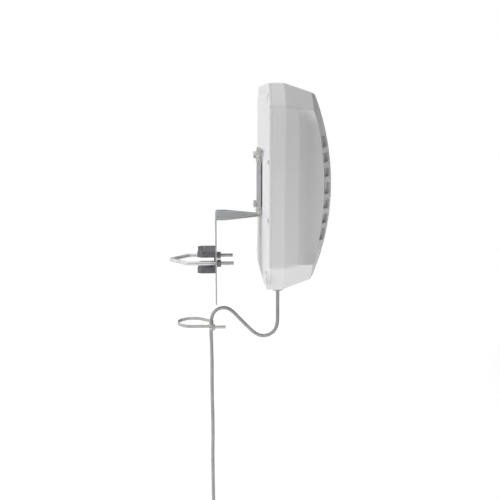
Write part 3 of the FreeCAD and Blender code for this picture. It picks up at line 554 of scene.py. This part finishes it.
def powder_coat(name, colour, rough=0.5):
    """Powder coat: soft orange peel and tiny bright flecks."""
    material, tree, shader, normal = base(name, COAT_EDGE)
    peel = noise(tree, 620.0, 2.0)
    broad = ramp(tree, noise(tree, 7.0, 3.0), 0.3, 0.7, shade(colour, 0.95), colour)
    flecks = ramp(tree, noise(tree, 3500.0, 1.0), 0.25, 0.62, (0.94, 0.94, 0.94), (1.0, 1.0, 1.0))
    tree.links.new(mix(tree, 1.0, broad, flecks, "MULTIPLY"), shader.inputs["Base Color"])
    tree.links.new(span(tree, peel, rough - 0.08, rough + 0.08), shader.inputs["Roughness"])
    tree.links.new(bump(tree, peel, 0.00007, normal), shader.inputs["Normal"])
    return material


def zinc_sheet(name, colour, rough=0.42, metal=0.75, scale=150.0, lines=(300.0, 300.0, 12.0)):
    """Zinc-coated sheet: pale crystal spangle, rolling lines and brighter, worn edges."""
    material, tree, shader, normal = base(name, SHEET_EDGE)
    spangle = add(tree, "ShaderNodeSeparateColor")
    tree.links.new(cells(tree, scale), spangle.inputs["Color"])
    crystal = ramp(tree, spangle.outputs["Red"], 0.0, 1.0, shade(colour, 0.88), shade(colour, 1.04))
    rolled = noise(tree, 8.0, 4.0, lines)
    streaks = ramp(tree, rolled, 0.3, 0.7, (0.92, 0.92, 0.92), (1.0, 1.0, 1.0))
    worn = ramp(tree, edge_mask(tree, normal), 0.0, 1.0, (0.0, 0.0, 0.0), (1.0, 1.0, 1.0))
    body = mix(tree, 1.0, crystal, streaks, "MULTIPLY")
    bright = ramp(tree, rolled, 0.0, 1.0, shade(colour, 1.15), shade(colour, 1.25))
    tree.links.new(mix(tree, worn, body, bright), shader.inputs["Base Color"])
    shader.inputs["Metallic"].default_value = metal
    tree.links.new(span(tree, spangle.outputs["Green"], rough - 0.07, rough + 0.09),
                   shader.inputs["Roughness"])
    tree.links.new(bump(tree, rolled, 0.00002, normal), shader.inputs["Normal"])
    return material


def brushed(name, colour, rough=0.3, metal=1.0, lines=(4.0, 4.0, 160.0), edge=FINE_EDGE):
    """Bright metal with fine lines left by rolling or turning, and small dull stains."""
    material, tree, shader, normal = base(name, edge)
    fine = noise(tree, 30.0, 4.0, lines)
    stain = noise(tree, 140.0, 3.0)
    line = ramp(tree, fine, 0.3, 0.7, shade(colour, 0.86), colour)
    dull = ramp(tree, stain, 0.45, 0.75, (1.0, 1.0, 1.0), (0.84, 0.83, 0.81))
    tree.links.new(mix(tree, 1.0, line, dull, "MULTIPLY"), shader.inputs["Base Color"])
    shader.inputs["Metallic"].default_value = metal
    tree.links.new(span(tree, fine, rough - 0.08, rough + 0.12), shader.inputs["Roughness"])
    tree.links.new(bump(tree, fine, 0.00001, normal), shader.inputs["Normal"])
    return material


def dark_coat(name, colour, bare, rough=0.5, metal=0.35, wear=1.0):
    """Dark phosphate or paint on metal: cloudy, slightly rough, rubbed to bare metal on its edges."""
    material, tree, shader, normal = base(name, SHEET_EDGE)
    cloud = noise(tree, 190.0, 5.0)
    grit = noise(tree, 1600.0, 2.0)
    body = ramp(tree, cloud, 0.3, 0.7, shade(colour, 0.7), shade(colour, 1.3))
    rub = add(tree, "ShaderNodeMath", operation="MULTIPLY")
    tree.links.new(edge_mask(tree, normal), rub.inputs[0])
    tree.links.new(span(tree, cloud, 0.1 * wear, 1.0 * wear), rub.inputs[1])
    metal_colour = ramp(tree, grit, 0.3, 0.7, shade(bare, 0.85), bare)
    tree.links.new(mix(tree, rub.outputs["Value"], body, metal_colour), shader.inputs["Base Color"])
    shader.inputs["Metallic"].default_value = metal
    tree.links.new(span(tree, cloud, rough - 0.1, rough + 0.12), shader.inputs["Roughness"])
    tree.links.new(bump(tree, grit, 0.00003, normal), shader.inputs["Normal"])
    return material


def sheath(name, colour, rough=0.6, lines=(1.0, 1.0, 0.12)):
    """Extruded cable sheath or soft rubber: long faint drag lines, dust and scuffs."""
    material, tree, shader, normal = base(name, FINE_EDGE)
    drag = noise(tree, 900.0, 3.0, lines)
    dust = noise(tree, 34.0, 5.0)
    body = ramp(tree, dust, 0.3, 0.75, shade(colour, 0.82), shade(colour, 1.15))
    scuff = ramp(tree, drag, 0.35, 0.65, (0.88, 0.88, 0.88), (1.0, 1.0, 1.0))
    tree.links.new(mix(tree, 1.0, body, scuff, "MULTIPLY"), shader.inputs["Base Color"])
    tree.links.new(span(tree, dust, rough - 0.08, rough + 0.12), shader.inputs["Roughness"])
    shader.inputs["Specular IOR Level"].default_value = 0.25
    tree.links.new(bump(tree, drag, 0.00003, normal), shader.inputs["Normal"])
    return material


def circuit(name, colour, track):
    """Laminate with a faint pattern of tracks under its mask and woven glass beneath."""
    material, tree, shader, normal = base(name, 0.0001)
    tracks = add(tree, "ShaderNodeTexBrick", {"Scale": 160.0, "Mortar Size": 0.018})
    tracks.inputs["Color1"].default_value = (*colour, 1.0)
    tracks.inputs["Color2"].default_value = (*shade(colour, 1.25), 1.0)
    tracks.inputs["Mortar"].default_value = (*track, 1.0)
    turned = add(tree, "ShaderNodeMapping", {"Rotation": (0.0, math.pi / 2, 0.0)})
    tree.links.new(place_of(tree), turned.inputs["Vector"])
    tree.links.new(turned.outputs["Vector"], tracks.inputs["Vector"])
    weave = noise(tree, 1800.0, 1.0)
    shadow = ramp(tree, weave, 0.3, 0.7, (0.92, 0.92, 0.92), (1.0, 1.0, 1.0))
    tree.links.new(mix(tree, 1.0, tracks.outputs["Color"], shadow, "MULTIPLY"),
                   shader.inputs["Base Color"])
    tree.links.new(span(tree, weave, 0.30, 0.42), shader.inputs["Roughness"])
    tree.links.new(bump(tree, weave, 0.00001, normal), shader.inputs["Normal"])
    return material


def clear(name):
    """Clear moulded plastic with faint flow lines."""
    material, tree, shader, normal = base(name, 0.0002)
    flow = noise(tree, 260.0, 3.0)
    tree.links.new(ramp(tree, flow, 0.3, 0.7, (0.80, 0.84, 0.86), (0.92, 0.94, 0.95)),
                   shader.inputs["Base Color"])
    tree.links.new(span(tree, flow, 0.05, 0.14), shader.inputs["Roughness"])
    shader.inputs["Transmission Weight"].default_value = 0.75
    shader.inputs["IOR"].default_value = 1.58
    tree.links.new(bump(tree, flow, 0.00002, normal), shader.inputs["Normal"])
    return material


def make_materials():
    """One material for each of the record's slots."""
    return {
        # The radome's hollows and pockets get painted shade, down to 0.74 of their colour
        "radome_white": moulded("radome_white", (0.77, 0.77, 0.77), hollow_shade=0.74),
        "cover_white": powder_coat("cover_white", (0.82, 0.82, 0.82)),
        "seal_rubber": sheath("seal_rubber", (0.05, 0.05, 0.05)),
        "screw_steel": brushed("screw_steel", (0.62, 0.62, 0.61), 0.32),
        "insert_brass": brushed("insert_brass", (0.78, 0.60, 0.30), 0.30),
        "bolt_steel": brushed("bolt_steel", (0.60, 0.60, 0.58), 0.34),
        "washer_steel": brushed("washer_steel", (0.64, 0.64, 0.62), 0.30, lines=(160.0, 4.0, 4.0)),
        "bracket_zinc": zinc_sheet("bracket_zinc", (0.47, 0.48, 0.49), 0.44, 0.6),
        "saddle_dark": dark_coat("saddle_dark", (0.17, 0.17, 0.18), (0.45, 0.45, 0.44), 0.48, 0.4, 0.5),
        "bolt_zinc": brushed("bolt_zinc", (0.72, 0.72, 0.72), 0.38, 0.6, (160.0, 4.0, 4.0)),
        "nut_dark": dark_coat("nut_dark", (0.22, 0.22, 0.22), (0.55, 0.55, 0.54), 0.40, 0.6, 0.8),
        "band_steel": brushed("band_steel", (0.50, 0.50, 0.49), 0.30, 1.0, (4.0, 4.0, 200.0)),
        "band_screw": brushed("band_screw", (0.62, 0.62, 0.60), 0.30, 1.0, (160.0, 4.0, 4.0)),
        "gland_grey": moulded("gland_grey", (0.30, 0.31, 0.32), 0.5, 1500.0, 0.00004, 0.0004),
        "board_green": circuit("board_green", (0.02, 0.16, 0.07), (0.10, 0.30, 0.12)),
        "chip_black": moulded("chip_black", (0.03, 0.03, 0.03), 0.55, 3000.0, 0.00002, 0.0001),
        "tin_plate": brushed("tin_plate", (0.70, 0.70, 0.68), 0.30, 1.0, (4.0, 160.0, 4.0)),
        "bare_aluminium": brushed("bare_aluminium", (0.74, 0.74, 0.75), 0.34, 1.0, (4.0, 4.0, 120.0)),
        "clear_plastic": clear("clear_plastic"),
        "cable_grey": sheath("cable_grey", (0.44, 0.44, 0.44)),
        "board_pale": circuit("board_pale", (0.62, 0.58, 0.40), (0.70, 0.64, 0.45)),
        "nylon_white": moulded("nylon_white", (0.78, 0.78, 0.72), 0.45, 1500.0, 0.00002, 0.0003),
        "patch_copper": brushed("patch_copper", (0.78, 0.42, 0.26), 0.26, 1.0, (4.0, 90.0, 4.0)),
        "tie_black": moulded("tie_black", (0.035, 0.035, 0.035), 0.48, 1800.0, 0.00003, 0.0003),
        "boot_grey": sheath("boot_grey", (0.11, 0.11, 0.11), 0.6),
        "contact_gold": brushed("contact_gold", (0.86, 0.66, 0.26), 0.2, 1.0, (4.0, 4.0, 90.0)),
    }


def paint_everything():
    """Give every CAD node and every new piece the material of its slot."""
    materials = make_materials()
    slots = {part["node"]: part["material_slot"] for part in frame["record"]["subparts"]}
    for thing in list(bpy.data.objects):
        slot = thing.get("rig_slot") or slots.get(thing.get("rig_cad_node"))
        if slot is None or thing.type not in ("MESH", "CURVE"):
            continue
        if not thing.data.materials:
            thing.data.materials.append(materials[slot])
        for place in thing.material_slots:
            place.material = materials[slot]


def stage_mesh(name, mesh, colour, glow):
    """A piece of the studio, which isn't part of the object."""
    data = bpy.data.meshes.new(name)
    mesh.to_mesh(data)
    mesh.free()
    thing = bpy.data.objects.new(name, data)
    bpy.context.scene.collection.objects.link(thing)
    material = bpy.data.materials.new(name)
    material.use_nodes = True
    tree = material.node_tree
    shader = tree.nodes["Principled BSDF"]
    paint = ramp(tree, noise(tree, 3.0, 2.0), 0.3, 0.7, shade(colour, 0.98), colour)
    tree.links.new(paint, shader.inputs["Base Color"])
    shader.inputs["Roughness"].default_value = 0.9
    shader.inputs["Specular IOR Level"].default_value = 0.1
    shader.inputs["Emission Color"].default_value = (1.0, 1.0, 1.0, 1.0)
    shader.inputs["Emission Strength"].default_value = glow
    data.materials.append(material)
    return thing


def studio():
    """A pale floor, a plain white surround that lights nothing, and a soft card in front of the
    panel that the camera doesn't see."""
    disc = bmesh.new()
    bmesh.ops.create_circle(disc, cap_ends=True, segments=96, radius=FLOOR_R)
    bmesh.ops.translate(disc, verts=disc.verts, vec=(0, 0, FLOOR_Z))
    stage_mesh("floor", disc, (0.94, 0.94, 0.94), FLOOR_GLOW)
    dome = bmesh.new()
    bmesh.ops.create_icosphere(dome, subdivisions=4, radius=DOME_R)
    surround = stage_mesh("surround", dome, (0.0, 0.0, 0.0), 1.0)
    surround.visible_diffuse = False
    surround.visible_glossy = False
    surround.visible_transmission = False
    surround.visible_shadow = False
    card = bmesh.new()
    corners = [
        (CARD_X, CARD_NEAR_Y, CARD_LOW),
        (CARD_X, CARD_FAR_Y, CARD_LOW),
        (CARD_X, CARD_FAR_Y, CARD_HIGH),
        (CARD_X, CARD_NEAR_Y, CARD_HIGH),
    ]
    card.faces.new([card.verts.new(corner) for corner in corners])
    reflector = stage_mesh("front_card", card, (0.1, 0.1, 0.1), CARD_GLOW)
    reflector.visible_camera = False
    reflector.visible_shadow = False


def lamp(name, place, target, size, power):
    """A soft rectangular light that faces its target."""
    data = bpy.data.lights.new(name, "AREA")
    data.energy = power
    data.shape = "RECTANGLE"
    data.size, data.size_y = size
    light = bpy.data.objects.new(name, data)
    light.location = place
    light.rotation_euler = (Vector(target) - Vector(place)).to_track_quat("-Z", "Y").to_euler()
    light.visible_camera = False
    bpy.context.scene.collection.objects.link(light)
    return light


def lights():
    """Soft light from all round, brighter from the mast's side and from above, and two lamps."""
    world = bpy.data.worlds.new("studio")
    bpy.context.scene.world = world
    world.use_nodes = True
    tree = world.node_tree
    coords = add(tree, "ShaderNodeTexCoord")
    part = add(tree, "ShaderNodeSeparateXYZ")
    tree.links.new(coords.outputs["Generated"], part.inputs["Vector"])
    sideways = add(tree, "ShaderNodeMath", {1: WORLD_TO_RIGHT, 2: WORLD_LEVEL}, operation="MULTIPLY_ADD")
    tree.links.new(part.outputs["X"], sideways.inputs[0])
    height = add(tree, "ShaderNodeMath", operation="MULTIPLY")
    tree.links.new(part.outputs["Z"], height.inputs[0])
    tree.links.new(part.outputs["Z"], height.inputs[1])
    total = add(tree, "ShaderNodeMath", {1: WORLD_UPWARD}, operation="MULTIPLY_ADD")
    tree.links.new(height.outputs["Value"], total.inputs[0])
    tree.links.new(sideways.outputs["Value"], total.inputs[2])
    least = add(tree, "ShaderNodeMath", {1: WORLD_LEAST}, operation="MAXIMUM")
    tree.links.new(total.outputs["Value"], least.inputs[0])
    background = tree.nodes["Background"]
    background.inputs["Color"].default_value = (1, 1, 1, 1)
    tree.links.new(least.outputs["Value"], background.inputs["Strength"])
    for name, place, target, size, power in LAMPS:
        lamp(name, place, target, size, power)


camera()
cable()
v_bolt()
v_nut("v_nut_near", "hex_nut_near")
v_nut("v_nut_far", "hex_nut_far")
bracket_bolts()
paint_everything()
studio()
lights()
